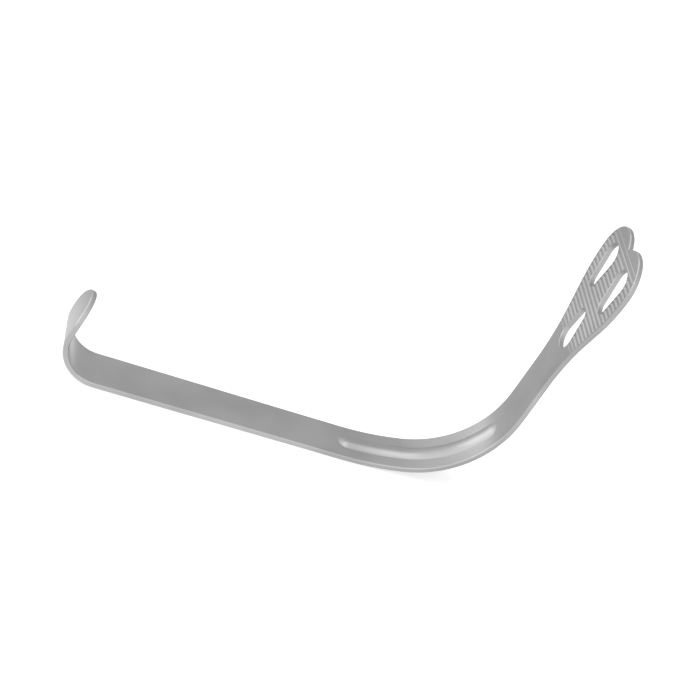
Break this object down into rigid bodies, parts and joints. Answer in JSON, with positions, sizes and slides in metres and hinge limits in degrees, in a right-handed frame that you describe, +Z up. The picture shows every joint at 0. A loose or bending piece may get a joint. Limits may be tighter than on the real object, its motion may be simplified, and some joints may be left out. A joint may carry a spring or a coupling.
{
  "type": "handheld surgical retractor",
  "caption": "One-piece steel hand retractor: a flat strap with a short hook, a wide ribbed elbow and a heart-shaped, slotted and serrated blade.",
  "frame": {"origin": "middle of the flat underside of the strap", "axes": "+X along the strap from the hook to the blade, +Y across the strap, +Z up, out of the strap's inner face, on the side that the hook and the blade turn to"},
  "size_m": [0.1135, 0.027, 0.0737],
  "materials": {
    "steel": "satin stainless steel, fine bead-blasted look"
  },
  "bodies": {
    "root": {"retractor": "steel"}
  },
  "joints": []
}
